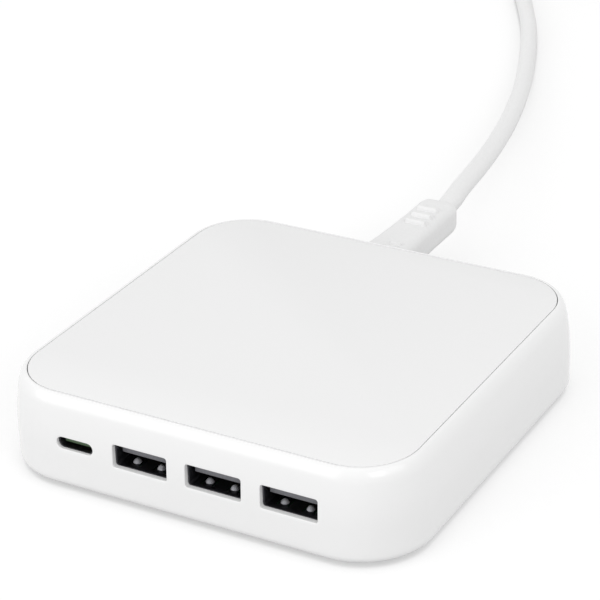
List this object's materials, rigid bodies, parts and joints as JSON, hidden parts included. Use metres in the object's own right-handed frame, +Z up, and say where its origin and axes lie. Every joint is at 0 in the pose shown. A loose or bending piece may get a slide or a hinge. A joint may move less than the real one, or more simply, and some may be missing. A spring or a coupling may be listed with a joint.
{
  "type": "fast charger",
  "caption": "Flat square desktop charger with rounded corners, USB-A ports and a USB-C port in the front wall, a figure-8 mains inlet behind, and its mains lead",
  "frame": {"origin": "middle of the footprint of the charger's body, on the surface its feet stand on", "axes": "+Z up; -Y is the front wall with the ports, +Y the back wall with the mains inlet, +X to the right seen from the front"},
  "size_m": [0.1492, 0.4214, 0.0222],
  "materials": {
    "housing_gloss": "injection-moulded white, glossy",
    "cover_matte": "injection-moulded white, fine matt texture",
    "foot_rubber": "moulded grey silicone",
    "circuit_board": "glass-epoxy with green solder mask",
    "black_plastic": "moulded black nylon or epoxy",
    "screw_steel": "zinc-plated",
    "port_steel": "drawn and dull nickel-plated",
    "port_insulator": "moulded thermoplastic",
    "usb_c_insulator": "moulded thermoplastic",
    "contact_gold": "gold-plated",
    "pin_nickel": "turned and nickel-plated brass",
    "fuse_ceramic": "glazed tube with plated caps",
    "film_capacitor": "moulded case",
    "disc_capacitor": "dipped epoxy",
    "ferrite": "sintered ferrite",
    "copper_winding": "enamelled copper wire",
    "capacitor_sleeve": "shrunk sleeve on an aluminium can",
    "winding_tape": "polyester tape over the winding",
    "sink_aluminium": "bent sheet",
    "capacitor_can": "drawn can",
    "lead_moulding": "overmoulded soft PVC, satin",
    "cord_jacket": "extruded PVC jacket, satin",
    "tie_strap": "woven hook-and-loop strap"
  },
  "bodies": {
    "root": {"housing": "housing_gloss", "top_cover": "cover_matte", "rubber_feet": "foot_rubber", "main_board": "circuit_board", "port_board": "circuit_board", "riser_board": "circuit_board", "board_header": "black_plastic", "board_screws": "screw_steel", "usb_a_shell_1": "port_steel", "usb_a_shell_2": "port_steel", "usb_a_shell_3": "port_steel", "usb_a_insulator_1": "port_insulator", "usb_a_insulator_2": "port_insulator", "usb_a_insulator_3": "port_insulator", "usb_a_contacts": "contact_gold", "usb_c_shell": "port_steel", "usb_c_tongue": "usb_c_insulator", "usb_c_contacts": "contact_gold", "inlet_body": "black_plastic", "inlet_pins": "pin_nickel", "fuse": "fuse_ceramic", "x_capacitor": "film_capacitor", "y_capacitor": "disc_capacitor", "choke_core": "ferrite", "choke_winding": "copper_winding", "bridge_rectifier": "black_plastic", "bulk_capacitors": "capacitor_sleeve", "transformer_core": "ferrite", "transformer_bobbin": "black_plastic", "transformer_winding": "winding_tape", "heat_sink": "sink_aluminium", "switching_transistors": "black_plastic", "output_capacitors": "capacitor_can", "output_inductors": "ferrite", "controller_chips": "black_plastic", "lead_connector": "lead_moulding", "connector_contacts": "contact_gold", "cord_run": "cord_jacket", "cord_coil": "cord_jacket", "cord_tie": "tie_strap", "cord_tail": "cord_jacket", "mains_plug": "lead_moulding", "mains_plug_pins": "pin_nickel"}
  },
  "joints": []
}
